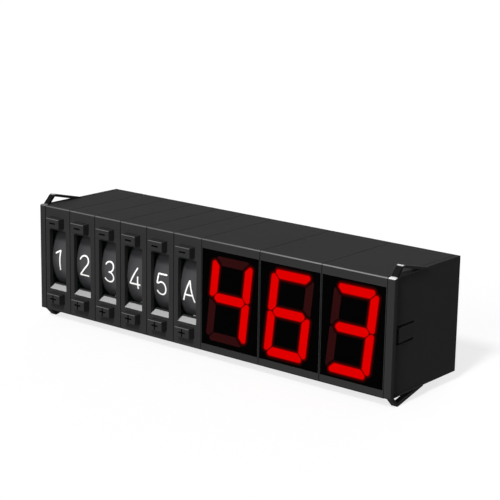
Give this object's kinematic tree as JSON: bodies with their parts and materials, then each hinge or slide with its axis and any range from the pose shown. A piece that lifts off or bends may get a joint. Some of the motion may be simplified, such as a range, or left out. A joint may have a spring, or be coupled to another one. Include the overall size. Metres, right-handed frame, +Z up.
{
  "type": "seven segment display with pushwheel switches",
  "caption": "Snap-in panel row of pushwheel number switches with plus and minus buttons beside red seven segment displays, held between latching end caps.",
  "frame": {"origin": "middle of the panel cut-out, in the plane of the panel's front face, which the rear faces of the end flanges rest on", "axes": "+X along the row to the right as seen from the front, +Y into the panel, +Z up"},
  "size_m": [0.199, 0.0585, 0.0586],
  "materials": {
    "housing": "fine moulded grain",
    "wheel": "smooth satin",
    "button": "fine moulded grain",
    "sill": "smooth satin",
    "board": "solder mask on glass laminate",
    "contact": "bright spring strip",
    "spring": "rolled strip",
    "block": "matt face",
    "lit": "lit diffuser",
    "dark": "unlit diffuser",
    "led": "clear resin",
    "chip": "moulded resin"
  },
  "bodies": {
    "bank": {"left_end_cap": "housing", "right_end_cap": "housing", "switch_housing_1": "housing", "switch_housing_2": "housing", "switch_housing_3": "housing", "switch_housing_4": "housing", "switch_housing_5": "housing", "switch_housing_6": "housing", "contact_board_1": "board", "contact_board_2": "board", "contact_board_3": "board", "contact_board_4": "board", "contact_board_5": "board", "contact_board_6": "board", "button_springs": "spring", "window_sills": "sill", "display_housing_1": "housing", "display_housing_2": "housing", "display_housing_3": "housing", "segment_block_1": "block", "segment_block_2": "block", "segment_block_3": "block", "lit_segments_1": "lit", "lit_segments_2": "lit", "lit_segments_3": "lit", "dark_segments_1": "dark", "dark_segments_2": "dark", "dark_segments_3": "dark", "led_board_1": "board", "led_board_2": "board", "led_board_3": "board", "driver_board_1": "board", "driver_board_2": "board", "driver_board_3": "board", "segment_leds": "led", "driver_chips": "chip"},
    "wheel_1": {"number_wheel_1": "wheel", "wheel_wiper_1": "contact"},
    "minus_1": {"minus_button_1": "button"},
    "plus_1": {"plus_button_1": "button"},
    "wheel_2": {"number_wheel_2": "wheel", "wheel_wiper_2": "contact"},
    "minus_2": {"minus_button_2": "button"},
    "plus_2": {"plus_button_2": "button"},
    "wheel_3": {"number_wheel_3": "wheel", "wheel_wiper_3": "contact"},
    "minus_3": {"minus_button_3": "button"},
    "plus_3": {"plus_button_3": "button"},
    "wheel_4": {"number_wheel_4": "wheel", "wheel_wiper_4": "contact"},
    "minus_4": {"minus_button_4": "button"},
    "plus_4": {"plus_button_4": "button"},
    "wheel_5": {"number_wheel_5": "wheel", "wheel_wiper_5": "contact"},
    "minus_5": {"minus_button_5": "button"},
    "plus_5": {"plus_button_5": "button"},
    "wheel_6": {"number_wheel_6": "wheel", "wheel_wiper_6": "contact"},
    "minus_6": {"minus_button_6": "button"},
    "plus_6": {"plus_button_6": "button"}
  },
  "joints": [
    {"name": "wheel_1_turn", "type": "hinge", "parent": "bank", "child": "wheel_1", "pos_m": [-0.088, 0.0178, 0], "axis": [1, 0, 0], "continuous": true},
    {"name": "minus_1_push", "type": "slide", "parent": "bank", "child": "minus_1", "axis": [0, 1, 0], "range_m": [0, 0.0034], "stiffness_N_per_m": 400, "springref_m": -0.002, "deforming": ["button_springs"]},
    {"name": "plus_1_push", "type": "slide", "parent": "bank", "child": "plus_1", "axis": [0, 1, 0], "range_m": [0, 0.0034], "stiffness_N_per_m": 400, "springref_m": -0.002, "deforming": ["button_springs"]},
    {"name": "wheel_2_turn", "type": "hinge", "parent": "bank", "child": "wheel_2", "pos_m": [-0.072, 0.0178, 0], "axis": [1, 0, 0], "continuous": true},
    {"name": "minus_2_push", "type": "slide", "parent": "bank", "child": "minus_2", "axis": [0, 1, 0], "range_m": [0, 0.0034], "stiffness_N_per_m": 400, "springref_m": -0.002, "deforming": ["button_springs"]},
    {"name": "plus_2_push", "type": "slide", "parent": "bank", "child": "plus_2", "axis": [0, 1, 0], "range_m": [0, 0.0034], "stiffness_N_per_m": 400, "springref_m": -0.002, "deforming": ["button_springs"]},
    {"name": "wheel_3_turn", "type": "hinge", "parent": "bank", "child": "wheel_3", "pos_m": [-0.056, 0.0178, 0], "axis": [1, 0, 0], "continuous": true},
    {"name": "minus_3_push", "type": "slide", "parent": "bank", "child": "minus_3", "axis": [0, 1, 0], "range_m": [0, 0.0034], "stiffness_N_per_m": 400, "springref_m": -0.002, "deforming": ["button_springs"]},
    {"name": "plus_3_push", "type": "slide", "parent": "bank", "child": "plus_3", "axis": [0, 1, 0], "range_m": [0, 0.0034], "stiffness_N_per_m": 400, "springref_m": -0.002, "deforming": ["button_springs"]},
    {"name": "wheel_4_turn", "type": "hinge", "parent": "bank", "child": "wheel_4", "pos_m": [-0.04, 0.0178, 0], "axis": [1, 0, 0], "continuous": true},
    {"name": "minus_4_push", "type": "slide", "parent": "bank", "child": "minus_4", "axis": [0, 1, 0], "range_m": [0, 0.0034], "stiffness_N_per_m": 400, "springref_m": -0.002, "deforming": ["button_springs"]},
    {"name": "plus_4_push", "type": "slide", "parent": "bank", "child": "plus_4", "axis": [0, 1, 0], "range_m": [0, 0.0034], "stiffness_N_per_m": 400, "springref_m": -0.002, "deforming": ["button_springs"]},
    {"name": "wheel_5_turn", "type": "hinge", "parent": "bank", "child": "wheel_5", "pos_m": [-0.024, 0.0178, 0], "axis": [1, 0, 0], "continuous": true},
    {"name": "minus_5_push", "type": "slide", "parent": "bank", "child": "minus_5", "axis": [0, 1, 0], "range_m": [0, 0.0034], "stiffness_N_per_m": 400, "springref_m": -0.002, "deforming": ["button_springs"]},
    {"name": "plus_5_push", "type": "slide", "parent": "bank", "child": "plus_5", "axis": [0, 1, 0], "range_m": [0, 0.0034], "stiffness_N_per_m": 400, "springref_m": -0.002, "deforming": ["button_springs"]},
    {"name": "wheel_6_turn", "type": "hinge", "parent": "bank", "child": "wheel_6", "pos_m": [-0.008, 0.0178, 0], "axis": [1, 0, 0], "continuous": true},
    {"name": "minus_6_push", "type": "slide", "parent": "bank", "child": "minus_6", "axis": [0, 1, 0], "range_m": [0, 0.0034], "stiffness_N_per_m": 400, "springref_m": -0.002, "deforming": ["button_springs"]},
    {"name": "plus_6_push", "type": "slide", "parent": "bank", "child": "plus_6", "axis": [0, 1, 0], "range_m": [0, 0.0034], "stiffness_N_per_m": 400, "springref_m": -0.002, "deforming": ["button_springs"]}
  ]
}
